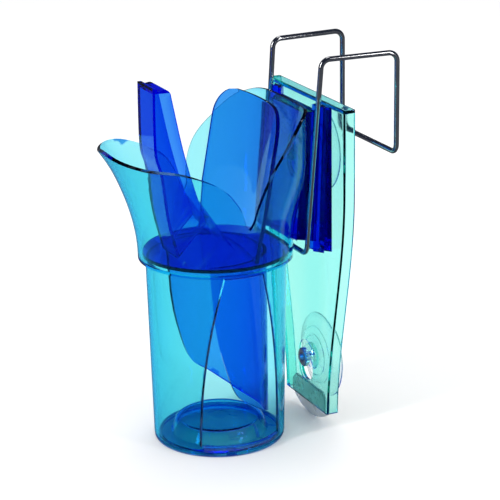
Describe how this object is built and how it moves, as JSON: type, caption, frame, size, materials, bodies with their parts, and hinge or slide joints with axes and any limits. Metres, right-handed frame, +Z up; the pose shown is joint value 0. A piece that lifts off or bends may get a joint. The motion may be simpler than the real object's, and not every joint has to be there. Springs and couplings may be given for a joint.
{
  "type": "ice scoop with guard holder",
  "caption": "Transparent ice scoop standing in a cup-shaped guard holder that slides on a bracket with suction cups and a wire hanger.",
  "frame": {"origin": "on the table plane, under the centre of the whole object's bounding box", "axes": "+Z up, +Y from the pouring lip towards the bracket and the wall, +X across; the plane X = 0 is the plane of symmetry but for the side window"},
  "size_m": [0.1108, 0.1772, 0.2362],
  "materials": {
    "aqua_plastic": "polished transparent polycarbonate, aqua tint",
    "blue_plastic": "polished transparent polycarbonate, blue tint",
    "pale_plastic": "polished transparent polycarbonate, pale aqua tint",
    "clear_vinyl": "soft clear vinyl",
    "chrome_wire": "bright plated wire",
    "steel": "knurled, satin"
  },
  "bodies": {
    "bracket": {"bracket_plate": "pale_plastic", "left_rail": "aqua_plastic", "right_rail": "aqua_plastic", "bracket_bumper": "clear_vinyl"},
    "holder": {"holder_shell": "aqua_plastic", "holder_hooks": "aqua_plastic"},
    "scoop": {"scoop_bowl": "blue_plastic", "scoop_guard": "blue_plastic", "scoop_handle": "blue_plastic"},
    "hanger": {"hanger_wire": "chrome_wire"},
    "lower_cup": {"lower_suction_cup": "clear_vinyl", "lower_cup_stud": "steel"},
    "lower_nut": {"lower_thumb_nut": "steel"},
    "upper_cup": {"upper_suction_cup": "clear_vinyl", "upper_cup_stud": "steel"},
    "upper_nut": {"upper_thumb_nut": "steel"}
  },
  "joints": [
    {"name": "holder_slide", "type": "slide", "parent": "bracket", "child": "holder", "axis": [0, 0.04, 0.9992], "range_m": [0, 0.08]},
    {"name": "scoop_lift", "type": "slide", "parent": "holder", "child": "scoop", "axis": [0, 0, 1], "range_m": [0, 0.16]},
    {"name": "hanger_slide", "type": "slide", "parent": "bracket", "child": "hanger", "axis": [0, 0, 1], "range_m": [0, 0.0045]},
    {"name": "lower_cup_slide", "type": "slide", "parent": "bracket", "child": "lower_cup", "axis": [0, 0, -1], "range_m": [0, 0.0076]},
    {"name": "upper_cup_slide", "type": "slide", "parent": "bracket", "child": "upper_cup", "axis": [0, 0, -1], "range_m": [0, 0.0076]},
    {"name": "lower_nut_spin", "type": "hinge", "parent": "lower_cup", "child": "lower_nut", "pos_m": [0, 0.04135, 0.0388], "axis": [0, 1, 0], "continuous": true},
    {"name": "upper_nut_spin", "type": "hinge", "parent": "upper_cup", "child": "upper_nut", "pos_m": [0, 0.04135, 0.1727], "axis": [0, 1, 0], "continuous": true}
  ]
}
